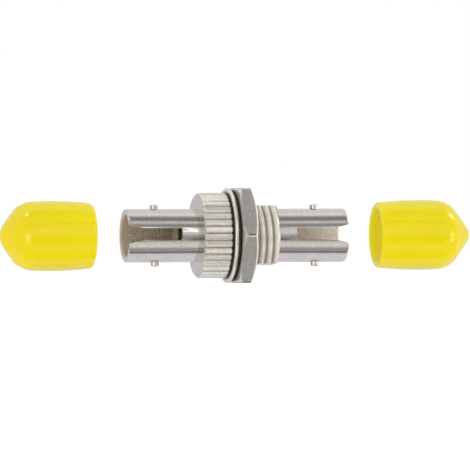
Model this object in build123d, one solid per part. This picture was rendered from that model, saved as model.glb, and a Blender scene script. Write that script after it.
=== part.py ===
from build123d import *
import math
import os

# Fibre adapter with a bayonet port at each end, to be fixed through a panel.
# Millimetres and degrees. X is the fibre axis and Z is up. The origin is on the axis, in the
# plane where the two ferrules meet. The adapter lies on a flat of its nut.

# Body, with a barrel and a port at each end
body_length = 30.65
body_roll = 3.8
barrel_diameter = 7.3
rim_chamfer = 0.25
port_diameter = 5.6
port_depth = 7.9
port_floor_thickness = 1.625
port_mouth_chamfer = 0.2

# Keyway that the connector's key runs in
keyway_width = 1.65
keyway_length = 7.3
keyway_mouth_width = 2.5
keyway_flare_length = 2.0
keyway_corner_radius = 0.25

# Bayonet pins, pressed into the barrel
pin_diameter = 1.15
pin_span = 8.44
pin_from_rim = 4.1
pin_recess = 0.05
pin_tip_chamfer = 0.12

# Knurled collar that seats on the panel
collar_seat = 1.37
collar_length = 3.98
collar_shoulder = 1.1
collar_chamfer = 0.3
knurl_count = 36
knurl_depth = 0.28
knurl_width = 0.44

# Threaded neck with two flats for a D-shaped panel hole
neck_length = 6.87
neck_diameter = 9.5
neck_across_flats = 7.95
neck_chamfer = 0.4

# Spigot that joins the halves, and the bush held between them
spigot_diameter = 6.0
bush_hub_diameter = 4.8
bush_flange_thickness = 0.7
ferrule_hole = 2.9
ferrule_lead_in = 4.0

# Split sleeve, free in its chamber
sleeve_bore = 2.5
sleeve_diameter = 3.2
sleeve_slit = 0.5
sleeve_side_play = 0.1
sleeve_end_play = 0.1

# Panel fasteners: flat washer, internal-tooth lock washer, nut
panel_gap = 0.15
washer_play = 0.15
washer_ring_width = 1.6
washer_thickness = 0.5
lock_washer_tooth_length = 0.5
lock_washer_ring_width = 0.5
lock_washer_stock = 0.25
lock_washer_teeth = 12
tooth_width = 0.9
tooth_twist = 12.0
tooth_face_play = 0.02
nut_wall = 1.75
nut_thickness = 2.31
nut_face_step = 0.25
nut_chamfer_angle = 22.0
nut_play = 0.05
nut_lead_in = 0.35

# Dust caps, shown pulled off
cap_off_distance = 4.57
cap_length = 13.2
cap_mouth_diameter = 9.0
cap_belly_diameter = 9.56
cap_belly_from_tip = 7.0
cap_shoulder_diameter = 9.2
cap_shoulder_bevel = 1.3
cap_tip_diameter = 1.0
cap_tip_chamfer = 0.25
cap_nose_angle = 54.0
cap_nose_wall = 1.2
cap_lip_bevel = 0.1
cap_pin_play = 0.05

# Stations along X that several pieces share
rim_x = body_length / 2
port_floor_x = rim_x - port_depth
pin_x = rim_x - pin_from_rim
seat_x = -collar_seat
collar_back_x = seat_x - collar_length
neck_end_x = seat_x + neck_length
chamber_end_x = port_floor_x - port_floor_thickness
sleeve_length = 2 * (chamber_end_x - sleeve_end_play)
washer_x = seat_x + panel_gap
tooth_height = (tooth_width * math.sin(math.radians(tooth_twist))
                + lock_washer_stock * math.cos(math.radians(tooth_twist)))
lock_washer_x = washer_x + washer_thickness + tooth_face_play + tooth_height / 2
nut_x = lock_washer_x + tooth_height / 2 + tooth_face_play
cap_mouth_x = rim_x + cap_off_distance

# Diameters that follow the neck
collar_diameter = neck_diameter + 2 * collar_shoulder
washer_hole = neck_diameter + 2 * washer_play
washer_diameter = washer_hole + 2 * washer_ring_width
lock_ring_hole = washer_hole + 2 * lock_washer_tooth_length
lock_washer_diameter = lock_ring_hole + 2 * lock_washer_ring_width
nut_across_flats = neck_diameter + 2 * nut_wall
nut_face_diameter = nut_across_flats - 2 * nut_face_step


def rod(diameter, start_x, end_x):
    """A round bar along the X axis between two stations."""
    disc = Plane.YZ.offset(start_x) * Circle(diameter / 2)
    return extrude(disc, end_x - start_x)


def cone(start_diameter, start_x, end_diameter, end_x):
    """A truncated cone along the X axis between two stations."""
    outline = Polyline(
        (start_x, 0),
        (start_x, start_diameter / 2),
        (end_x, end_diameter / 2),
        (end_x, 0),
        close=True,
    )
    return revolve(make_face(outline), axis=Axis.X)


def at_right(solid):
    """What is modelled for the left port, mirrored to the right one."""
    return mirror(solid, about=Plane.YZ)


def roll(solid):
    """The body lies rolled a little, keyways upwards from the front."""
    return Rot(X=-body_roll) * solid


def left_barrel(inner_x):
    """The barrel with its chamfered rim, from the rim to the station inner_x."""
    barrel = rod(barrel_diameter, -rim_x, inner_x)
    rim_edge = barrel.edges().filter_by(GeomType.CIRCLE).sort_by(Axis.X)[0]
    return chamfer(rim_edge, rim_chamfer)


def left_port_space():
    """The bore that takes the connector, with its chamfered mouth."""
    mouth_diameter = port_diameter + 2 * port_mouth_chamfer
    bore = rod(port_diameter, -rim_x, -port_floor_x)
    mouth = cone(mouth_diameter, -rim_x, port_diameter, -rim_x + port_mouth_chamfer)
    return bore + mouth


def left_keyway_space():
    """The slot through the front wall, flared at the rim and square at its inner end."""
    half_slot = keyway_width / 2
    half_mouth = keyway_mouth_width / 2
    outline = Polyline(
        (-rim_x, -half_mouth),
        (-rim_x + keyway_flare_length, -half_slot),
        (-rim_x + keyway_length, -half_slot),
        (-rim_x + keyway_length, half_slot),
        (-rim_x + keyway_flare_length, half_slot),
        (-rim_x, half_mouth),
        close=True,
    )
    slot = make_face(outline)
    inner_corners = slot.vertices().sort_by(Axis.X)[-2:]
    slot = fillet(inner_corners, keyway_corner_radius)
    flare_corners = slot.vertices().group_by(Axis.X)[1]
    slot = fillet(flare_corners, keyway_flare_length)
    return extrude(Plane.XZ * slot, barrel_diameter)


def left_pin_holes():
    """The cross hole through both walls of the barrel for the two pins."""
    return Pos(-pin_x, 0, 0) * Cylinder(pin_diameter / 2, 2 * barrel_diameter)


def left_upper_pin():
    """A pin standing out of the barrel, its inner end just short of the port."""
    foot = port_diameter / 2 + pin_recess
    tip = pin_span / 2
    pin = Pos(-pin_x, 0, (foot + tip) / 2) * Cylinder(pin_diameter / 2, tip - foot)
    return chamfer(pin.edges().sort_by(Axis.Z)[-1], pin_tip_chamfer)


def left_lower_pin():
    """The pin on the opposite side of the left barrel."""
    return Rot(X=180) * left_upper_pin()


def knurled_collar():
    """The collar with straight grooves all round; its seat stays flat to the edge."""
    radius = collar_diameter / 2
    notch = Polyline(
        (radius - knurl_depth, 0),
        (radius + knurl_depth, knurl_width),
        (radius + knurl_depth, -knurl_width),
        close=True,
    )
    half_step = 180 / knurl_count
    notches = PolarLocations(0, knurl_count, start_angle=half_step) * make_face(notch)
    section = Circle(radius) - notches
    teeth = extrude(Plane.YZ.offset(collar_back_x) * section, collar_length)
    blank = rod(collar_diameter, collar_back_x, seat_x)
    back_edge = blank.edges().filter_by(GeomType.CIRCLE).sort_by(Axis.X)[0]
    blank = chamfer(back_edge, collar_chamfer)
    return teeth & blank


def bush_step_x():
    """Station of the step that the bush's flange rests on."""
    return -chamber_end_x - bush_flange_thickness


def ferrule_passage():
    """The ferrule's hole at the left port's floor, with its conical lead-in."""
    depth = (ferrule_lead_in - ferrule_hole) / 2
    hole = rod(ferrule_hole, -port_floor_x, -chamber_end_x)
    lead_in = cone(ferrule_lead_in, -port_floor_x, ferrule_hole, -port_floor_x + depth)
    return hole + lead_in


def knurled_half():
    """Left half: barrel and knurled collar, bored from the right for bush and spigot."""
    blank = left_barrel(seat_x) + knurled_collar()
    hub_bore = rod(bush_hub_diameter, -port_floor_x, bush_step_x())
    spigot_bore = rod(spigot_diameter, bush_step_x(), seat_x)
    half = blank - left_port_space() - hub_bore - spigot_bore
    return roll(half - left_keyway_space() - left_pin_holes())


def neck():
    """The neck's blank with a chamfered end and its two flats, above and below."""
    round_neck = rod(neck_diameter, seat_x, neck_end_x)
    end_edge = round_neck.edges().filter_by(GeomType.CIRCLE).sort_by(Axis.X)[-1]
    round_neck = chamfer(end_edge, neck_chamfer)
    middle = Pos((seat_x + neck_end_x) / 2, 0, 0)
    between_flats = middle * Box(neck_length, neck_diameter, neck_across_flats)
    return round_neck & between_flats


def threaded_half():
    """Right half: spigot, neck and barrel, with the sleeve's chamber inside."""
    spigot = rod(spigot_diameter, -chamber_end_x, seat_x)
    blank = spigot + neck() + at_right(left_barrel(0))
    chamber_diameter = sleeve_diameter + 2 * sleeve_side_play
    chamber = rod(chamber_diameter, -chamber_end_x, chamber_end_x)
    half = blank - chamber - at_right(left_port_space()) - at_right(ferrule_passage())
    return roll(half - at_right(left_keyway_space()) - at_right(left_pin_holes()))


def sleeve_bush():
    """The bush that closes the sleeve's chamber on the left: hub, flange and lead-in."""
    hub = rod(bush_hub_diameter, -port_floor_x, bush_step_x())
    flange = rod(spigot_diameter, bush_step_x(), -chamber_end_x)
    return roll(hub + flange - ferrule_passage())


def alignment_sleeve():
    """The split sleeve that lines up the two ferrules."""
    half_length = sleeve_length / 2
    tube = rod(sleeve_diameter, -half_length, half_length)
    tube = tube - rod(sleeve_bore, -half_length, half_length)
    slit = Pos(0, 0, sleeve_diameter / 2) * Box(sleeve_length, sleeve_slit, sleeve_diameter)
    return roll(tube - slit)


def flat_washer():
    """The plain washer that presses on the panel."""
    disc = rod(washer_diameter, washer_x, washer_x + washer_thickness)
    hole = rod(washer_hole, washer_x, washer_x + washer_thickness)
    return disc - hole


def lock_washer():
    """A ring with twisted teeth round its inner edge."""
    half_stock = lock_washer_stock / 2
    ring = rod(lock_washer_diameter, lock_washer_x - half_stock, lock_washer_x + half_stock)
    ring = ring - rod(lock_ring_hole, lock_washer_x - half_stock, lock_washer_x + half_stock)
    tooth_tip = washer_hole / 2
    root = lock_ring_hole / 2 + lock_washer_ring_width / 2
    tooth = Box(lock_washer_stock, tooth_width, root - tooth_tip)
    tooth = Pos(lock_washer_x, 0, (root + tooth_tip) / 2) * Rot(Z=tooth_twist) * tooth
    step = 360 / lock_washer_teeth
    teeth = [Rot(X=step * index) * tooth for index in range(lock_washer_teeth)]
    return ring + teeth


def hex_nut():
    """The panel nut, a flat down, with a conical chamfer on both faces."""
    corner_radius = nut_across_flats / math.sqrt(3)
    middle_x = nut_x + nut_thickness / 2
    hexagon = Plane.YZ.offset(nut_x) * RegularPolygon(corner_radius, 6)
    prism = extrude(hexagon, nut_thickness)
    reach = corner_radius - nut_face_diameter / 2
    slope = reach * math.tan(math.radians(nut_chamfer_angle))
    double_cone = Polyline(
        (nut_x, 0),
        (nut_x, nut_face_diameter / 2),
        (nut_x + slope, corner_radius),
        (nut_x + nut_thickness - slope, corner_radius),
        (nut_x + nut_thickness, nut_face_diameter / 2),
        (nut_x + nut_thickness, 0),
        close=True,
    )
    blank = prism & revolve(make_face(double_cone), axis=Axis.X)
    bore_diameter = neck_diameter + 2 * nut_play
    bore = rod(bore_diameter, nut_x, nut_x + nut_thickness)
    mouth = cone(bore_diameter + 2 * nut_lead_in, nut_x, bore_diameter, nut_x + nut_lead_in)
    far_mouth = mirror(mouth, about=Plane.YZ.offset(middle_x))
    return blank - bore - mouth - far_mouth


def left_dust_cap():
    """A soft cup: pointed nose, bevelled shoulder, slight belly and a bevelled lip."""
    tip_x = -cap_mouth_x - cap_length
    tip_radius = cap_tip_diameter / 2
    shoulder_radius = cap_shoulder_diameter / 2
    mouth_radius = cap_mouth_diameter / 2
    nose_slope = math.tan(math.radians(cap_nose_angle))
    corner_x = tip_x + (shoulder_radius - tip_radius) / nose_slope
    bevel_start_x = corner_x - cap_shoulder_bevel * math.cos(math.radians(cap_nose_angle))
    bevel_drop = cap_shoulder_bevel * math.sin(math.radians(cap_nose_angle))
    shoulder_end_x = corner_x + cap_shoulder_bevel
    lip_x = -cap_mouth_x - cap_lip_bevel
    nose = Polyline(
        (tip_x, 0),
        (tip_x, tip_radius),
        (bevel_start_x, shoulder_radius - bevel_drop),
        (shoulder_end_x, shoulder_radius),
    )
    belly = ThreePointArc(
        (shoulder_end_x, shoulder_radius),
        (tip_x + cap_belly_from_tip, cap_belly_diameter / 2),
        (lip_x, mouth_radius),
    )
    lip = Polyline(
        (lip_x, mouth_radius),
        (-cap_mouth_x, mouth_radius - cap_lip_bevel),
        (-cap_mouth_x, 0),
        (tip_x, 0),
    )
    outline = make_face(nose + belly + lip)
    tip_corner = outline.vertices().sort_by_distance((tip_x, tip_radius))[0]
    outline = chamfer(tip_corner, cap_tip_chamfer)
    return revolve(outline, axis=Axis.X) - left_cap_space()


def left_cap_space():
    """The inside of the cap: a bore that clears the pins, and a cone under the nose."""
    bore_radius = pin_span / 2 + cap_pin_play
    nose_slope = math.tan(math.radians(cap_nose_angle))
    wall_along_x = cap_nose_wall / math.sin(math.radians(cap_nose_angle))
    inner_tip_x = -cap_mouth_x - cap_length + cap_nose_wall
    inner_tip_radius = cap_tip_diameter / 2 - (wall_along_x - cap_nose_wall) * nose_slope
    cone_end_x = inner_tip_x + (bore_radius - inner_tip_radius) / nose_slope
    outline = Polyline(
        (inner_tip_x, 0),
        (inner_tip_x, inner_tip_radius),
        (cone_end_x, bore_radius),
        (-cap_mouth_x, bore_radius),
        (-cap_mouth_x, 0),
        close=True,
    )
    return revolve(make_face(outline), axis=Axis.X)


pieces = {
    "knurled_half": knurled_half(),
    "threaded_half": threaded_half(),
    "bayonet_pin_left_upper": roll(left_upper_pin()),
    "bayonet_pin_left_lower": roll(left_lower_pin()),
    "bayonet_pin_right_upper": roll(at_right(left_upper_pin())),
    "bayonet_pin_right_lower": roll(at_right(left_lower_pin())),
    "sleeve_bush": sleeve_bush(),
    "alignment_sleeve": alignment_sleeve(),
    "flat_washer": flat_washer(),
    "lock_washer": lock_washer(),
    "hex_nut": hex_nut(),
    "left_dust_cap": left_dust_cap(),
    "right_dust_cap": at_right(left_dust_cap()),
}

os.makedirs("parts", exist_ok=True)
for name, piece in pieces.items():
    export_step(piece, f"parts/{name}.step")
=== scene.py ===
import math

import bmesh
import bpy
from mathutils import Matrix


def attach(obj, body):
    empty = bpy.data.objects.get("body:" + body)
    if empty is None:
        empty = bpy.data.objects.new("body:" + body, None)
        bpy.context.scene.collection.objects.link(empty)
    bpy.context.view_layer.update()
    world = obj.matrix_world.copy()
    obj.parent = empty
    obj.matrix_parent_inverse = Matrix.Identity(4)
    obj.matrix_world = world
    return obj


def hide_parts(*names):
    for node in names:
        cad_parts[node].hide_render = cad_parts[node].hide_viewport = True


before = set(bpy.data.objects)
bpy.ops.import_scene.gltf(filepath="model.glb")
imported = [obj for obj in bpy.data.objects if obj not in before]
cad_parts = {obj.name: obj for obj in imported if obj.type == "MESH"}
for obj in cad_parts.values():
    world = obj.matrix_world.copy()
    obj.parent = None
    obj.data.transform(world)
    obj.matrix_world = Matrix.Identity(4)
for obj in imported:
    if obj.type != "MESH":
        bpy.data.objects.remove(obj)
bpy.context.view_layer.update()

# Metres in a millimetre. Sizes below are in millimetres, as in the solids, and angles in degrees.
MM = 0.001
RING_VERTICES = 96
# How far a vertex or a face may lie from where it is looked for
SPARE = 0.01

# Material slots of the turned pieces
EDGE_SLOT = 1
BORE_SLOT = 2
RELIEF_SLOT = 3
BRIGHT_SLOT = 4
# Slot of the painted shade along the nut's corners
CORNER_SHADE_SLOT = 5

# Body: stations along the fibre axis, and radii
RIM_X = 15.325
RIM_CHAMFER = 0.25
RIM_DROP = 0.06
BARREL_RADIUS = 3.65
SEAT_X = -1.37
NECK_END_X = 5.5
COLLAR_BACK_X = -5.35
COLLAR_STEP_RADIUS = 4.8
NECK_STEP_RADIUS = 3.72
PORT_FLOOR_X = 7.43
PORT_WALL_RADIUS = 3.3
BODY_ROUNDING = 0.1

# Knurl: the turn brings its grooves to where they came to lie on this adapter
KNURL_ROOT_RADIUS = 5.57
KNURL_TURN = -5.5

# Thread of the neck: right-hand, cut to a small flat at root and crest
THREAD_PITCH = 1.0
THREAD_ROOT_RADIUS = 4.25
THREAD_CUT_RADIUS = 4.85
THREAD_ROOT_FLAT = 0.12
THREAD_FLANK_ANGLE = 30.0
THREAD_TURNS = 9
THREAD_START_X = -2.65

# Caps: their outline as distances from the tip and radii. The mouth is drawn in to a lip, as it is
# off the barrel. The left cap's nose came out blunter, and the right cap's mouth a little longer.
CAP_MOUTH_X = 20.015
CAP_LENGTH = 13.08
CAP_POINT_RADIUS = 0.5
LEFT_NOSE_RADIUS = 0.95
RIGHT_NOSE_RADIUS = 0.52
CAP_CORNER = (2.979, 4.6)
CAP_SHOULDER_END_X = 4.8
CAP_BELLY = (7.0, 4.78)
CAP_MOUTH_RADIUS = 4.46
CAP_LIP_RADIUS = 3.86
CAP_LIP_DEPTH = 0.9
CAP_BORE_RADIUS = 4.27
CAP_BORE_DEPTH = 2.0
CAP_INNER_CORNER_X = 3.92
CAP_INNER_TIP = (1.2, 0.11)
RIGHT_CAP_REACH = 0.12
CAP_BELLY_RINGS = 12
CAP_NOSE_SHARE = 0.85
CAP_CORNER_ROUNDING = 1.5
CAP_MOUTH_ROUNDING = 0.36
CAP_LIP_ROUNDING = 0.18
CAP_INNER_ROUNDING = 0.8

# Panel nut: a hexagon whose corners are turned down to a round face at both ends
NUT_X = (-0.23, 2.08)
NUT_CORNER_RADIUS = 7.5055
NUT_FACE_RADIUS = 6.25
NUT_BORE_RADIUS = 4.8
NUT_CHAMFER_ANGLE = 22.0
NUT_CORNER_ROUNDING = 0.2
NUT_EDGE_ROUNDING = 0.15
WASHER_ROUNDING = 0.15


# Mesh helpers

def activate(piece):
    """Makes a piece the only one that operators act on."""
    bpy.ops.object.select_all(action="DESELECT")
    piece.select_set(True)
    bpy.context.view_layer.objects.active = piece


def select_parts(piece, kind, test):
    """Opens a piece for editing with only the vertices or edges that pass the test selected."""
    activate(piece)
    bpy.ops.object.mode_set(mode="EDIT")
    bpy.ops.mesh.select_mode(type=kind)
    bpy.ops.mesh.select_all(action="DESELECT")
    mesh = bmesh.from_edit_mesh(piece.data)
    for part in mesh.verts if kind == "VERT" else mesh.edges:
        part.select_set(test(part))
    bmesh.update_edit_mesh(piece.data)


def select_edges(piece, test):
    """Opens a piece for editing with only the edges that pass the test selected."""
    select_parts(piece, "EDGE", test)


def face_outwards(piece):
    """Turns every face of a closed piece outwards."""
    activate(piece)
    bpy.ops.object.mode_set(mode="EDIT")
    bpy.ops.mesh.select_all(action="SELECT")
    bpy.ops.mesh.normals_make_consistent(inside=False)
    bpy.ops.object.mode_set(mode="OBJECT")


def welded_copy(node, name):
    """A closed copy of a CAD node's mesh, with each flat area one face."""
    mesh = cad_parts[node].data.copy()
    mesh.materials.clear()
    piece = bpy.data.objects.new(name, mesh)
    bpy.context.scene.collection.objects.link(piece)
    activate(piece)
    bpy.ops.mesh.customdata_custom_splitnormals_clear()
    bpy.ops.object.mode_set(mode="EDIT")
    bpy.ops.mesh.select_all(action="SELECT")
    bpy.ops.mesh.remove_doubles(threshold=0.0005 * MM)
    bpy.ops.mesh.dissolve_limited(angle_limit=math.radians(1.0))
    bpy.ops.object.mode_set(mode="OBJECT")
    return piece


def soften_edges(piece, width, segments, angle=28.0, clamp=True):
    """Rounds every edge that is sharper than the angle. Its faces take the second material."""
    activate(piece)
    bevel = piece.modifiers.new("soft_edges", "BEVEL")
    bevel.width = width * MM
    bevel.segments = segments
    bevel.limit_method = "ANGLE"
    bevel.angle_limit = math.radians(angle)
    bevel.use_clamp_overlap = clamp
    bevel.material = EDGE_SLOT
    bpy.ops.object.modifier_apply(modifier=bevel.name)


def smooth(piece, angle=30.0):
    """Smooth shading in which the large faces keep their own normals up to their edges."""
    activate(piece)
    bpy.ops.object.shade_smooth_by_angle(angle=math.radians(angle))
    even = piece.modifiers.new("even_normals", "WEIGHTED_NORMAL")
    even.keep_sharp = True
    even.weight = 100
    bpy.ops.object.modifier_apply(modifier=even.name)


def axis_radius(point):
    """Distance of a point from the fibre axis, in millimetres."""
    return math.hypot(point.y, point.z) / MM


# Thread

def thread_cutter():
    """The coil of metal that the threading tool takes away."""
    depth = THREAD_CUT_RADIUS - THREAD_ROOT_RADIUS
    middle = (THREAD_CUT_RADIUS + THREAD_ROOT_RADIUS) / 2
    outer_flat = THREAD_ROOT_FLAT + 2 * depth * math.tan(math.radians(THREAD_FLANK_ANGLE))
    bpy.ops.mesh.primitive_plane_add(
        size=1.0,
        location=(THREAD_START_X * MM, 0, middle * MM),
        rotation=(math.pi / 2, 0, 0),
    )
    cutter = bpy.context.object
    cutter.scale = (THREAD_ROOT_FLAT * MM, depth * MM, 1)
    bpy.ops.object.transform_apply(location=True, rotation=True, scale=True)
    select_edges(cutter, lambda edge: all(v.co.z > middle * MM for v in edge.verts))
    bpy.ops.transform.resize(
        value=(outer_flat / THREAD_ROOT_FLAT, 1, 1),
        center_override=(THREAD_START_X * MM, 0, THREAD_CUT_RADIUS * MM),
    )
    bpy.ops.mesh.select_all(action="SELECT")
    bpy.ops.mesh.delete(type="ONLY_FACE")
    bpy.ops.object.mode_set(mode="OBJECT")
    screw = cutter.modifiers.new("coil", "SCREW")
    screw.axis = "X"
    screw.angle = 2 * math.pi
    screw.screw_offset = THREAD_PITCH * MM
    screw.iterations = THREAD_TURNS
    screw.steps = RING_VERTICES
    screw.render_steps = RING_VERTICES
    bpy.ops.object.modifier_apply(modifier=screw.name)
    middle_x = (THREAD_START_X + THREAD_TURNS * THREAD_PITCH / 2) * MM
    for side in (-1, 1):
        select_edges(cutter, lambda edge: edge.is_boundary
                     and side * (edge.verts[0].co.x - middle_x) > 0)
        bpy.ops.mesh.edge_face_add()
        bpy.ops.object.mode_set(mode="OBJECT")
    face_outwards(cutter)
    return cutter


def sharpen_rim(piece):
    """Makes the chamfer of a barrel's rim steeper, so that it nearly goes on from the barrel."""
    chamfer_radius = BARREL_RADIUS - RIM_CHAMFER
    select_edges(piece, lambda edge: all(
        abs(v.co.x) / MM > RIM_X - SPARE and abs(axis_radius(v.co) - chamfer_radius) < 2 * SPARE
        for v in edge.verts))
    factor = (BARREL_RADIUS - RIM_DROP) / chamfer_radius
    bpy.ops.transform.resize(value=(1, factor, factor), center_override=(0, 0, 0))
    bpy.ops.object.mode_set(mode="OBJECT")


def threaded_half():
    """The right half of the body with its thread cut and its edges softened."""
    piece = welded_copy("threaded_half", "plated_threaded_half")
    sharpen_rim(piece)
    soften_edges(piece, BODY_ROUNDING, 2)
    combine(piece, thread_cutter(), "DIFFERENCE")
    smooth(piece)
    return piece


def turn_knurl(piece):
    """Turns the knurl's grooves round the axis, downwards at the front."""
    inside_root = KNURL_ROOT_RADIUS - 0.1
    select_parts(piece, "VERT", lambda vertex: axis_radius(vertex.co) > inside_root)
    bpy.ops.transform.rotate(
        value=math.radians(KNURL_TURN),
        orient_axis="X",
        orient_type="GLOBAL",
        center_override=(0, 0, 0),
    )
    bpy.ops.object.mode_set(mode="OBJECT")


def knurled_half():
    """The left half of the body with its edges softened."""
    piece = welded_copy("knurled_half", "plated_knurled_half")
    turn_knurl(piece)
    sharpen_rim(piece)
    soften_edges(piece, BODY_ROUNDING, 2)
    smooth(piece)
    return piece


def turned_form(name, rings):
    """A solid of revolution round the fibre axis: each ring is drawn out of the last."""
    x0, r0 = rings[0]
    bpy.ops.mesh.primitive_circle_add(
        vertices=RING_VERTICES,
        radius=r0 * MM,
        fill_type="NGON",
        location=(x0 * MM, 0, 0),
        rotation=(0, math.pi / 2, 0),
    )
    piece = bpy.context.object
    piece.name = name
    bpy.ops.object.transform_apply(location=True, rotation=True, scale=True)
    select_edges(piece, lambda edge: True)
    for (x0, r0), (x1, r1) in zip(rings, rings[1:]):
        step = ((x1 - x0) * MM, 0, 0)
        bpy.ops.mesh.extrude_edges_move(TRANSFORM_OT_translate={"value": step})
        bpy.ops.transform.resize(value=(1, r1 / r0, r1 / r0), center_override=(x1 * MM, 0, 0))
    bpy.ops.mesh.edge_face_add()
    bpy.ops.object.mode_set(mode="OBJECT")
    face_outwards(piece)
    return piece


def combine(piece, tool, operation):
    """Cuts a piece with a tool, or keeps only what lies inside the tool."""
    activate(piece)
    cut = piece.modifiers.new("cut", "BOOLEAN")
    cut.operation = operation
    cut.solver = "EXACT"
    cut.object = tool
    bpy.ops.object.modifier_apply(modifier=cut.name)
    bpy.data.objects.remove(tool)


def panel_nut():
    """Hexagon bar with rounded corners, turned to a cone at both ends and bored."""
    left, right = NUT_X
    bpy.ops.mesh.primitive_cylinder_add(
        vertices=6,
        radius=NUT_CORNER_RADIUS * MM,
        depth=(right - left) * MM,
        location=((left + right) / 2 * MM, 0, 0),
        rotation=(0, math.pi / 2, 0),
    )
    piece = bpy.context.object
    piece.name = "satin_panel_nut"
    bpy.ops.object.transform_apply(location=True, rotation=True, scale=True)
    select_edges(piece, lambda edge: abs(edge.verts[0].co.x - edge.verts[1].co.x) > MM)
    bpy.ops.mesh.bevel(offset=NUT_CORNER_ROUNDING * MM, segments=4, affect="EDGES")
    bpy.ops.object.mode_set(mode="OBJECT")
    slope = math.tan(math.radians(NUT_CHAMFER_ANGLE))
    overlap = 0.1
    rise = overlap / slope
    inset = (NUT_CORNER_RADIUS - NUT_FACE_RADIUS) * slope + overlap
    cones = [
        (left - overlap, NUT_FACE_RADIUS - rise), (left + inset, NUT_CORNER_RADIUS + rise),
        (right - inset, NUT_CORNER_RADIUS + rise), (right + overlap, NUT_FACE_RADIUS - rise),
    ]
    combine(piece, turned_form("nut_cones", cones), "INTERSECT")
    overrun = 1.0
    bore = [(left - overrun, NUT_BORE_RADIUS), (right + overrun, NUT_BORE_RADIUS)]
    combine(piece, turned_form("nut_bore", bore), "DIFFERENCE")
    soften_edges(piece, NUT_EDGE_ROUNDING, 3, 50.0, clamp=False)
    smooth(piece)
    return piece


def panel_washer():
    """Blanked washer, its edges rounded by the die."""
    piece = welded_copy("flat_washer", "bright_panel_washer")
    soften_edges(piece, WASHER_ROUNDING, 4)
    smooth(piece)
    return piece


# Caps

def belly_rings(count):
    """Rings along the slight swell between the shoulder and the mouth."""
    x0, r0 = CAP_CORNER
    x1, r1 = CAP_BELLY
    x2, r2 = CAP_LENGTH, CAP_MOUTH_RADIUS
    rings = []
    for index in range(count):
        x = CAP_SHOULDER_END_X + (x2 - CAP_SHOULDER_END_X) * index / count
        r = (r0 * (x - x1) * (x - x2) / ((x0 - x1) * (x0 - x2))
             + r1 * (x - x0) * (x - x2) / ((x1 - x0) * (x1 - x2))
             + r2 * (x - x0) * (x - x1) / ((x2 - x0) * (x2 - x1)))
        rings.append((x, r))
    return rings


def round_ring(piece, x, radius, offset, segments):
    """Rounds the ring of edges that lies at one place of a turned form."""
    def on_ring(edge):
        return all(abs(v.co.x / MM - x) < SPARE and abs(axis_radius(v.co) - radius) < SPARE
                   for v in edge.verts)
    select_edges(piece, on_ring)
    bpy.ops.mesh.bevel(offset=offset * MM, segments=segments, affect="EDGES")
    bpy.ops.object.mode_set(mode="OBJECT")


def soft_cap(name, nose_radius):
    """A soft cap at the left port: from the nose over the lip to the inside."""
    corner_x, corner_radius = CAP_CORNER
    nose_x = corner_x * (nose_radius - CAP_POINT_RADIUS) / (corner_radius - CAP_POINT_RADIUS)
    rings = [
        (nose_x, nose_radius),
        CAP_CORNER,
        *belly_rings(CAP_BELLY_RINGS),
        (CAP_LENGTH, CAP_MOUTH_RADIUS),
        (CAP_LENGTH, CAP_LIP_RADIUS),
        (CAP_LENGTH - CAP_LIP_DEPTH, CAP_LIP_RADIUS),
        (CAP_LENGTH - CAP_BORE_DEPTH, CAP_BORE_RADIUS),
        (CAP_INNER_CORNER_X, CAP_BORE_RADIUS),
        CAP_INNER_TIP,
    ]
    tip_x = -CAP_MOUTH_X - CAP_LENGTH
    piece = turned_form(name, [(tip_x + x, radius) for x, radius in rings])
    round_ring(piece, tip_x + nose_x, nose_radius, CAP_NOSE_SHARE * nose_radius, 8)
    round_ring(piece, tip_x + corner_x, corner_radius, CAP_CORNER_ROUNDING, 12)
    round_ring(piece, -CAP_MOUTH_X, CAP_MOUTH_RADIUS, CAP_MOUTH_ROUNDING, 7)
    round_ring(piece, -CAP_MOUTH_X, CAP_LIP_RADIUS, CAP_LIP_ROUNDING, 4)
    round_ring(piece, tip_x + CAP_INNER_CORNER_X, CAP_BORE_RADIUS, CAP_INNER_ROUNDING, 5)
    face_outwards(piece)
    smooth(piece, 50.0)
    return piece


def right_cap():
    """The other cap: turned end for end, its mouth pulled out a little further."""
    piece = soft_cap("vinyl_cap_right", RIGHT_NOSE_RADIUS)
    activate(piece)
    piece.rotation_euler = (0, 0, math.pi)
    bpy.ops.object.transform_apply(location=True, rotation=True, scale=True)
    mouth_end = (CAP_MOUTH_X + 0.5) * MM
    select_edges(piece, lambda edge: all(v.co.x < mouth_end for v in edge.verts))
    bpy.ops.transform.translate(value=(-RIGHT_CAP_REACH * MM, 0, 0))
    bpy.ops.object.mode_set(mode="OBJECT")
    return piece


# Colours and materials

def linear(hex_colour):
    """Linear colour of an sRGB hex value."""
    channels = [int(hex_colour[i:i + 2], 16) / 255 for i in (1, 3, 5)]
    bright = [c / 12.92 if c <= 0.04045 else ((c + 0.055) / 1.055) ** 2.4 for c in channels]
    return (*bright, 1.0)


def add_node(tree, kind, inputs=(), **settings):
    """Adds a shader node with its settings, and fills or links its inputs."""
    node = tree.nodes.new("ShaderNode" + kind)
    for name, value in settings.items():
        setattr(node, name, value)
    for socket, value in dict(inputs).items():
        if isinstance(value, bpy.types.NodeSocket):
            tree.links.new(value, node.inputs[socket])
        else:
            node.inputs[socket].default_value = value
    return node


def blank_material(name):
    """A new material with an empty node tree."""
    material = bpy.data.materials.new(name)
    material.use_nodes = True
    material.node_tree.nodes.clear()
    return material


def per_mm(size):
    """Scale of a noise whose grains are this size in millimetres."""
    return 1.0 / (size * MM)


# Width of the cloudy spots of a polish, and of the slow swells that bend its shine
CLOUD_MM = 1.8
SWELL_MM = 1.1


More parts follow.
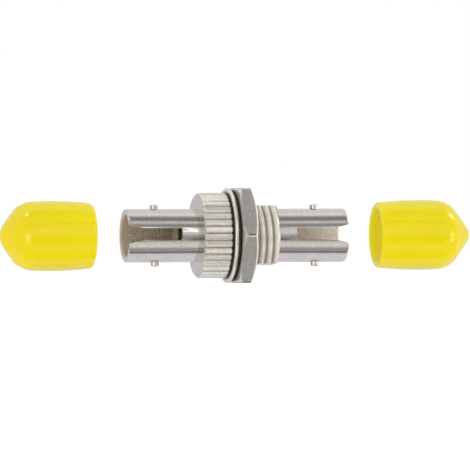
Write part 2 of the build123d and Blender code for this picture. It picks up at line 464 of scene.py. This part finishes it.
def metal(name, colour, dull_colour, roughness, polish, metallic=1.0, line_mm=0.3,
          line_depth=0.0012, grain_mm=0.2, grain_depth=0.002, wobble=0.006, speckle=0.5):
    """Turned or plated metal: rings round the axis, a fine grain, cloudy polish, wobbling shine.

    Sizes and depths are in millimetres. The grain is drawn coarser than the real one, to show.
    """
    material = blank_material(name)
    tree = material.node_tree
    place = add_node(tree, "TexCoord").outputs["Object"]
    along = add_node(tree, "SeparateXYZ", {"Vector": place}).outputs["X"]
    ring = add_node(tree, "TexNoise", {"W": along, "Scale": per_mm(line_mm), "Detail": 2.0},
                    noise_dimensions="1D")
    cloud = add_node(tree, "TexNoise", {"Vector": place, "Scale": per_mm(CLOUD_MM),
                                        "Detail": 3.0})
    swell = add_node(tree, "TexNoise", {"Vector": place, "Scale": per_mm(SWELL_MM), "Detail": 1.0})
    grain = add_node(tree, "TexNoise", {"Vector": place, "Scale": per_mm(grain_mm), "Detail": 2.0})
    speck = add_node(tree, "MapRange", {"Value": grain.outputs["Fac"], 1: 0.35, 2: 0.65,
                                        3: -speckle, 4: speckle})
    tone = add_node(tree, "Math", {0: cloud.outputs["Fac"], 1: speck.outputs[0]}, operation="ADD",
                    use_clamp=True)
    mixed = add_node(tree, "MixRGB", {0: tone.outputs[0], 1: linear(colour),
                                      2: linear(dull_colour)})
    shine = add_node(tree, "MapRange", {"Value": cloud.outputs["Fac"], 1: 0.3, 2: 0.7,
                                        3: roughness - polish, 4: roughness + polish})
    bent = add_node(tree, "Bump", {"Height": swell.outputs["Fac"], "Strength": 1.0,
                                   "Distance": wobble * MM})
    turned = add_node(tree, "Bump", {"Height": ring.outputs["Fac"], "Strength": 1.0,
                                     "Distance": line_depth * MM,
                                     "Normal": bent.outputs["Normal"]})
    grainy = add_node(tree, "Bump", {"Height": grain.outputs["Fac"], "Strength": 1.0,
                                     "Distance": grain_depth * MM,
                                     "Normal": turned.outputs["Normal"]})
    shader = add_node(tree, "BsdfPrincipled", {
        "Base Color": mixed.outputs[0],
        "Metallic": metallic,
        "Roughness": shine.outputs[0],
        "Normal": grainy.outputs["Normal"],
    })
    add_node(tree, "OutputMaterial", {"Surface": shader.outputs["BSDF"]})
    return material


def shade_by_radius(material, colour, inner, outer):
    """Gives a material another colour inside a radius. The two blend from inner to outer."""
    tree = material.node_tree
    shader = next(node for node in tree.nodes if node.type == "BSDF_PRINCIPLED")
    place = next(node for node in tree.nodes if node.type == "TEX_COORD").outputs["Object"]
    clean = shader.inputs["Base Color"].links[0].from_socket
    across = add_node(tree, "VectorMath", {0: place, 1: (0, 1, 1)}, operation="MULTIPLY")
    radius = add_node(tree, "VectorMath", {0: across.outputs[0]}, operation="LENGTH")
    height = add_node(tree, "MapRange", {"Value": radius.outputs["Value"], 1: inner * MM,
                                         2: outer * MM, 3: 0.0, 4: 1.0})
    mixed = add_node(tree, "MixRGB", {0: height.outputs[0], 1: linear(colour), 2: clean})
    tree.links.new(mixed.outputs[0], shader.inputs["Base Color"])


def tint_along(material, colour, start, end):
    """Gives a material another colour beyond a place on the axis, blending from start to end."""
    tree = material.node_tree
    shader = next(node for node in tree.nodes if node.type == "BSDF_PRINCIPLED")
    clean = shader.inputs["Base Color"].links[0].from_socket
    along = next(node for node in tree.nodes if node.type == "SEPXYZ").outputs["X"]
    depth = add_node(tree, "MapRange", {"Value": along, 1: start * MM, 2: end * MM,
                                        3: 0.0, 4: 1.0})
    mixed = add_node(tree, "MixRGB", {0: depth.outputs[0], 1: clean, 2: linear(colour)})
    tree.links.new(mixed.outputs[0], shader.inputs["Base Color"])


def zirconia():
    """Ground zirconia ceramic of the split sleeve: hard, creamy white and slightly glossy."""
    material = blank_material("ground_zirconia")
    tree = material.node_tree
    place = add_node(tree, "TexCoord").outputs["Object"]
    grind = add_node(tree, "TexNoise", {"Vector": place, "Scale": per_mm(0.15), "Detail": 2.0})
    tone = add_node(tree, "MixRGB", {0: grind.outputs["Fac"], 1: linear("#ECE6DA"),
                                     2: linear("#E2DBCD")})
    bump = add_node(tree, "Bump", {"Height": grind.outputs["Fac"], "Strength": 0.4,
                                   "Distance": 0.004 * MM})
    shader = add_node(tree, "BsdfPrincipled", {
        "Base Color": tone.outputs[0],
        "Roughness": 0.3,
        "IOR": 2.1,
        "Normal": bump.outputs["Normal"],
    })
    add_node(tree, "OutputMaterial", {"Surface": shader.outputs["BSDF"]})
    return material


# Vinyl: width of its cloudy spots, and width and depth of its sagging and of its skin
VINYL_CLOUD_MM = 3.0
VINYL_SAG_MM = 4.0
VINYL_SAG_DEPTH = 0.06
VINYL_SKIN_MM = 0.5
VINYL_SKIN_DEPTH = 0.002


def yellow_vinyl(name, colour, dull_colour, gloss, depth_mm):
    """Dip-moulded PVC, vivid yellow: soft gloss, a little light passing through the wall."""
    material = blank_material(name)
    tree = material.node_tree
    place = add_node(tree, "TexCoord").outputs["Object"]
    cloud = add_node(tree, "TexNoise", {"Vector": place, "Scale": per_mm(VINYL_CLOUD_MM),
                                        "Detail": 2.0})
    skin = add_node(tree, "TexNoise", {"Vector": place, "Scale": per_mm(VINYL_SKIN_MM),
                                       "Detail": 1.0})
    sag = add_node(tree, "TexNoise", {"Vector": place, "Scale": per_mm(VINYL_SAG_MM),
                                      "Detail": 1.0})
    tone = add_node(tree, "MixRGB", {0: cloud.outputs["Fac"], 1: linear(colour),
                                     2: linear(dull_colour)})
    soft = add_node(tree, "Bump", {"Height": sag.outputs["Fac"], "Strength": 1.0,
                                   "Distance": VINYL_SAG_DEPTH * MM})
    fine = add_node(tree, "Bump", {"Height": skin.outputs["Fac"], "Strength": 1.0,
                                   "Distance": VINYL_SKIN_DEPTH * MM,
                                   "Normal": soft.outputs["Normal"]})
    shader = add_node(tree, "BsdfPrincipled", {
        "Base Color": tone.outputs[0],
        "Roughness": 0.13,
        "IOR": 1.53,
        "Specular IOR Level": gloss,
        "Subsurface Weight": 1.0,
        "Subsurface Radius": (1.0, 0.85, 0.08),
        "Subsurface Scale": depth_mm * MM,
        "Normal": fine.outputs["Normal"],
    })
    add_node(tree, "OutputMaterial", {"Surface": shader.outputs["BSDF"]})
    return material


def dress(piece, *materials):
    """Fills the material slots of a piece."""
    piece.data.materials.clear()
    for material in materials:
        piece.data.materials.append(material)


def give_slot(piece, slot, test):
    """Puts the faces that pass the test in a material slot."""
    for face in piece.data.polygons:
        if test(face):
            face.material_index = slot


# Where each finish goes

# How far a face's normal leans along the axis: square faces, the nut's chamfer, its outer edges
# and its sides. The flats of the neck look straight up or down.
SQUARE_LEAN = 0.97
CHAMFER_LEAN = 0.88
EDGE_LEAN = (0.05, 0.85)
SIDE_LEAN = 0.1
FLAT_LEAN = 0.995
NUT_CORNER_START = 7.2


def faces_inwards(face, share=0.9):
    """Whether a face looks at the fibre axis, as the wall of a bore does."""
    y, z = face.center.y, face.center.z
    return face.normal.y * y + face.normal.z * z < -share * math.hypot(y, z)


def in_port(face):
    """Whether a face is on the wall or the mouth of a port's bore."""
    return (abs(face.center.x) / MM > PORT_FLOOR_X
            and axis_radius(face.center) < PORT_WALL_RADIUS
            and faces_inwards(face, 0.25))


def lines_cap(face):
    """Whether a face is on the inside of a cap or of its lip."""
    return faces_inwards(face, 0.3)


def on_collar(face):
    """Whether a face is on the knurl, and not on the barrel or the seat."""
    return (COLLAR_BACK_X - SPARE < face.center.x / MM < SEAT_X - SPARE
            and axis_radius(face.center) > COLLAR_STEP_RADIUS)


def on_neck(face):
    """Whether a face is on the threaded part of the neck, and not on its two flats."""
    return (SEAT_X < face.center.x / MM < NECK_END_X + SPARE
            and axis_radius(face.center) > NECK_STEP_RADIUS
            and abs(face.normal.z) < FLAT_LEAN)


def looks_left(face):
    return face.normal.x < -SQUARE_LEAN


def on_left_chamfer(face):
    return -SQUARE_LEAN < face.normal.x < -CHAMFER_LEAN


def on_right_edge(face):
    return (EDGE_LEAN[0] < face.normal.x < EDGE_LEAN[1]
            and axis_radius(face.center) > NUT_FACE_RADIUS)


def on_nut_corner(face):
    return axis_radius(face.center) > NUT_CORNER_START and abs(face.normal.x) < SIDE_LEAN


def on_corner_highlight_side(face):
    """The side of each rounded corner of the nut that gets a painted highlight; the other side
    keeps the painted shade.
    """
    lead = face.center.y * face.normal.z - face.center.z * face.normal.y
    return on_nut_corner(face) and lead > 0


def on_washer_back(face):
    return face.normal.x > SIDE_LEAN


# Build

knurled = knurled_half()
threaded = threaded_half()
nut = panel_nut()
washer = panel_washer()
cap_left = soft_cap("vinyl_cap_left", LEFT_NOSE_RADIUS)
cap_right = right_cap()

# Finishes

# Electroless nickel on turned brass, left bright: warm grey-white, near mirror with a fine grain
nickel = metal("bright_nickel_plate", "#E2DDD8", "#D2CCC6", 0.13, 0.03)
# The same plate on rounded edges, near white: partly rubbed bright by handling, partly painted
# highlight. On the nut it is the painted highlight along one side of each corner.
edge = metal("rubbed_edge_with_highlight", "#FDF8F0", "#F0E9DE", 0.35, 0.05, metallic=0.4)
# Edges of the nut that face right, painted near white: painted highlight
nut_edge = metal("nut_edge_painted_highlight", "#F6F3EE", "#ECE8E0", 0.3, 0.03, metallic=0.1)
# Painted shade: a dark line along one side of each rounded corner of the nut
nut_corner_shade = metal("nut_corner_painted_shade", "#5A5148", "#453C34", 0.4, 0.05, metallic=0.5)
# Inside of the left port: speckled plate, painted darker than the right port's: painted shade
# inside the port
left_bore = metal("port_plate_painted_shade", "#E6DBCC", "#AFA394", 0.42, 0.06, metallic=0.15,
                  speckle=0.6)
# Its inner end is painted pale gold: painted light, standing for the lit face of the brass bush.
# Its mouth is beige.
tint_along(left_bore, "#FFF3D2", -8.06, -8.0)
tint_along(left_bore, "#CBBEA6", -13.6, -15.2)
# Inside of the right port: matt plate, mottled beige, painted near white: painted light inside the
# port
right_bore = metal("mottled_port_plate_painted_light", "#FFFAF4", "#EEE4D9", 0.5, 0.06, metallic=0.05,
                   grain_mm=0.24, speckle=0.8)
# Knurl: rolled, so its lands are satin and uneven
knurl = metal("rolled_knurl_plate", "#FDF9F2", "#E2DBD2", 0.27, 0.05, metallic=0.65,
              grain_depth=0.006, speckle=0.6)
# Its grooves are painted darker: painted shade in the recesses
shade_by_radius(knurl, "#C6BDB2", KNURL_ROOT_RADIUS + 0.03, KNURL_ROOT_RADIUS + 0.18)
# Painted shade: the knurl darkened at its end next to the panel washer, in the gap between them
tint_along(knurl, "#5E5246", -1.62, -1.52)
# Thread: near white on the crests, partly worn bright and partly painted highlight; brown-grey in
# the roots, partly oil and partly painted shade
thread = metal("threaded_nickel_plate", "#FBF7EF", "#EEE8DD", 0.28, 0.04, metallic=0.35)
shade_by_radius(thread, "#B0A38E", 4.27, 4.48)
# Satin nickel of the nut: barrelled before plating, so it has a fine grain and no clear reflection
satin = metal("satin_nickel_plate", "#D2CEC8", "#B9B4AD", 0.36, 0.05, metallic=0.9,
              grain_mm=0.16, grain_depth=0.02, speckle=0.7)
# Chamfer of the nut: turned after barrelling, so it mirrors the gap beside it
chamfer = metal("turned_nut_chamfer", "#FBF8F2", "#EDE8E1", 0.3, 0.03, metallic=0.5)
# Seating face of the nut and back of the washer: darker brown, painted shade of the narrow gap
# between them
gap_shade = metal("gap_painted_shade", "#978A7C", "#776A5E", 0.5, 0.05, metallic=0.3)
# Blanked steel washer with a bright nickel flash: rounded edge that glints
blanked = metal("blanked_bright_steel", "#F6F3EE", "#E6E1DA", 0.25, 0.04, metallic=0.6)
# Painted shade: its faces darker brown inside the rounded edge, in the gaps beside the knurl and
# the nut
shade_by_radius(blanked, "#8A7C6C", 6.0, 6.1)
# Hardened spring steel of the lock washer, painted dark: painted shade of the gap between the
# washer and the nut
spring = metal("spring_steel_painted_shade", "#5C544C", "#463E37", 0.4, 0.06)
# Pale plated brass pins, turned and pressed in
pin_metal = metal("pale_plated_brass", "#E4DECE", "#C8C0AE", 0.18, 0.03, grain_mm=0.12)
# Bare turned brass of the bush behind the left port; inside its hole painted dark brown: painted
# shade
brass = metal("bare_turned_brass", "#DCC9A0", "#C4AE80", 0.3, 0.04, metallic=0.7, line_mm=0.12,
              line_depth=0.005)
shade_by_radius(brass, "#2E2418", 1.95, 2.05)
# Split sleeve of ground ceramic; inside its bore painted dark brown: painted shade
ceramic = zirconia()
shade_by_radius(ceramic, "#54452E", 1.5, 1.58)
# Outside of the caps
vinyl = yellow_vinyl("dip_moulded_yellow_vinyl", "#F4E206", "#EDD906", 0.38, 0.9)
# Inside of the caps: the side that lay on the mould, less glossy and painted lighter: painted
# light that comes through the thin wall
vinyl_inside = yellow_vinyl("yellow_vinyl_inside_painted_light", "#FFE648", "#FFE048", 0.1, 2.6)

# Each piece gets its finishes, and each finish its faces

dress(knurled, nickel, edge, left_bore, knurl)
give_slot(knurled, BORE_SLOT, in_port)
give_slot(knurled, RELIEF_SLOT, on_collar)
dress(threaded, nickel, edge, right_bore, thread)
give_slot(threaded, BORE_SLOT, in_port)
give_slot(threaded, RELIEF_SLOT, on_neck)
dress(nut, satin, edge, gap_shade, chamfer, nut_edge, nut_corner_shade)
# The nut's left face takes the painted shade of the gap
give_slot(nut, BORE_SLOT, looks_left)
give_slot(nut, RELIEF_SLOT, on_left_chamfer)
# The nut's right edges take the painted highlight
give_slot(nut, BRIGHT_SLOT, on_right_edge)
# Painted shade along each corner of the nut, then a painted highlight along one side of it
give_slot(nut, CORNER_SHADE_SLOT, on_nut_corner)
give_slot(nut, EDGE_SLOT, on_corner_highlight_side)
dress(washer, blanked, blanked, gap_shade)
# The washer's back takes the painted shade of the gap
give_slot(washer, BORE_SLOT, on_washer_back)
for cap in (cap_left, cap_right):
    dress(cap, vinyl, vinyl_inside)
    give_slot(cap, EDGE_SLOT, lines_cap)
    cap.visible_glossy = False
dress(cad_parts["lock_washer"], spring)
dress(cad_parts["sleeve_bush"], brass)
dress(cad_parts["alignment_sleeve"], ceramic)
for side in ("left_upper", "left_lower", "right_upper", "right_lower"):
    dress(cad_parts["bayonet_pin_" + side], pin_metal)

for piece, body, node, slot in (
    (knurled, "adapter", "knurled_half", "nickel_plating"),
    (threaded, "adapter", "threaded_half", "nickel_plating"),
    (nut, "nut", "hex_nut", "nut_plating"),
    (washer, "washers", "flat_washer", "washer_steel"),
    (cap_left, "left_cap", "left_dust_cap", "yellow_vinyl"),
    (cap_right, "right_cap", "right_dust_cap", "yellow_vinyl"),
):
    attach(piece, body)
    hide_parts(node)

# Floor: white, under the flat of the nut that the adapter lies on

FLOOR_Z = -6.52
FLOOR_METRES = 6.0
FLOOR_GLOW = 0.22
FLOOR_GLOW_SEEN = 0.36
bpy.ops.mesh.primitive_plane_add(size=FLOOR_METRES, location=(0, 0, FLOOR_Z * MM))
floor = bpy.context.object
floor.name = "white_floor"
floor_white = blank_material("white_paper")
paper = floor_white.node_tree
matte = add_node(paper, "BsdfDiffuse", {"Color": linear("#F2F2F2")})
camera_ray = add_node(paper, "LightPath").outputs["Is Camera Ray"]
seen = add_node(paper, "MapRange", {"Value": camera_ray, 3: FLOOR_GLOW, 4: FLOOR_GLOW_SEEN})
lift = add_node(paper, "Emission", {"Color": (1, 1, 1, 1), "Strength": seen.outputs[0]})
both = add_node(paper, "AddShader", {0: matte.outputs[0], 1: lift.outputs[0]})
add_node(paper, "OutputMaterial", {"Surface": both.outputs[0]})
floor.data.materials.append(floor_white)
floor.visible_glossy = False

# Studio: what the metal mirrors, as bands of soft boxes and gaps round the fibre axis.
# Angles go up from the front; each band is its angle in degrees, its level and its tint.

BANDS = (
    (-180, 0.64, "lilac"), (-138, 0.78, "lilac"), (-104, 0.84, "lilac"), (-86, 0.80, "lilac"),
    (-80, 0.22, "plain"), (-75, 0.12, "plain"), (-70, 0.50, "plain"), (-61, 0.34, "plain"),
    (-46, 0.90, "warm"), (-29, 0.74, "warm"), (-23, 0.38, "warm"), (-19, 0.16, "warm"),
    (-13, 0.20, "warm"), (-8, 0.34, "plain"), (0, 0.50, "plain"), (8, 0.74, "plain"),
    (14, 0.80, "plain"), (26, 0.74, "plain"), (33, 0.62, "plain"), (40, 0.40, "plain"),
    (46, 0.26, "plain"), (52, 0.46, "plain"), (57, 0.74, "plain"), (62, 0.74, "plain"),
    (68, 0.32, "warm"), (79, 0.24, "warm"), (88, 0.38, "warm"), (94, 0.74, "warm"),
    (106, 1.00, "plain"), (118, 0.80, "plain"), (142, 0.82, "plain"), (180, 0.64, "lilac"),
)
# Level of the plain white light on matt surfaces
ROOM_LIGHT = 0.8
TINTS = {"plain": (1.0, 1.0, 1.0), "warm": (1.0, 0.985, 0.94), "lilac": (1.0, 0.985, 1.07)}

world = bpy.data.worlds.new("studio")
bpy.context.scene.world = world
world.use_nodes = True
sky = world.node_tree
sky.nodes.clear()
around = add_node(sky, "TexCoord").outputs["Generated"]
direction = add_node(sky, "SeparateXYZ", {"Vector": around})
front = add_node(sky, "Math", {0: direction.outputs["Y"], 1: -1.0}, operation="MULTIPLY")
angle = add_node(sky, "Math", {0: direction.outputs["Z"], 1: front.outputs[0]},
                 operation="ARCTAN2")
turn = add_node(sky, "MapRange", {"Value": angle.outputs[0], 1: -math.pi, 2: math.pi,
                                  3: 0.0, 4: 1.0})
ramp = add_node(sky, "ValToRGB", {"Fac": turn.outputs[0]})
stops = ramp.color_ramp.elements
for index, (degrees, level, tint) in enumerate(BANDS):
    position = (degrees + 180) / 360
    stop = stops[index] if index < 2 else stops.new(position)
    stop.position = position
    stop.color = (*(level * channel for channel in TINTS[tint]), 1.0)
mirrored = add_node(sky, "Background", {"Color": ramp.outputs["Color"], "Strength": 1.0})
soft_light = add_node(sky, "Background", {"Color": (1, 1, 1, 1), "Strength": ROOM_LIGHT})
backdrop = add_node(sky, "Background", {"Color": (1, 1, 1, 1), "Strength": 1.0})
rays = add_node(sky, "LightPath")
lit = add_node(sky, "MixShader", {0: rays.outputs["Is Glossy Ray"], 1: soft_light.outputs[0],
                                  2: mirrored.outputs[0]})
shown = add_node(sky, "MixShader", {0: rays.outputs["Is Camera Ray"], 1: lit.outputs[0],
                                    2: backdrop.outputs[0]})
add_node(sky, "OutputWorld", {"Surface": shown.outputs[0]})


def soft_box(name, azimuth, elevation, width, height, level):
    """A lamp half a metre off, aimed at the adapter. Azimuth 0 is the front. Sizes in metres."""
    distance = 0.5
    across = math.cos(math.radians(elevation))
    place = (
        distance * math.sin(math.radians(azimuth)) * across,
        -distance * math.cos(math.radians(azimuth)) * across,
        distance * math.sin(math.radians(elevation)),
    )
    bpy.ops.object.light_add(type="AREA", location=place)
    lamp = bpy.context.object
    lamp.name = name
    lamp.data.shape = "RECTANGLE"
    lamp.data.size = width
    lamp.data.size_y = height
    lamp.data.energy = level * math.pi * width * height
    lamp.visible_camera = False
    aim = -lamp.location
    lamp.rotation_euler = aim.to_track_quat("-Z", "Y").to_euler()


soft_box("soft_box_left", -41, -6, 0.2, 0.22, 3.0)
soft_box("soft_box_right", 64, -6, 0.2, 0.22, 3.0)
soft_box("soft_box_front", 2.3, 19, 0.1, 0.12, 0.8)
soft_box("soft_box_top_left", -82, 61, 0.1, 0.1, 5.0)
soft_box("soft_box_top_right", 94, 38, 0.14, 0.14, 4.0)
soft_box("soft_box_back_right", 146, 0, 0.35, 0.06, 1.6)

# Camera: a long lens far off, level with the fibre axis, a little to the left of square on

CAMERA_YAW = -12.7
CAMERA_ROLL = 0.17
VIEW_WIDTH = 64.38
IMAGE_OFFSET = (0.1, 0.07)
SENSOR_WIDTH = 36.0
LENS = 1200.0
bpy.ops.object.camera_add()
camera = bpy.context.object
camera.data.sensor_width = SENSOR_WIDTH
camera.data.lens = LENS
reach = VIEW_WIDTH * LENS / SENSOR_WIDTH
yaw = math.radians(CAMERA_YAW)
offset_x, offset_z = IMAGE_OFFSET
camera.location = (
    (reach * math.sin(yaw) + offset_x * math.cos(yaw)) * MM,
    (-reach * math.cos(yaw) + offset_x * math.sin(yaw)) * MM,
    offset_z * MM,
)
camera.rotation_euler = (math.pi / 2, math.radians(CAMERA_ROLL), yaw)
camera.data.clip_start = 0.1
camera.data.clip_end = 20.0
bpy.context.scene.camera = camera
bpy.context.scene.view_settings.view_transform = "Standard"
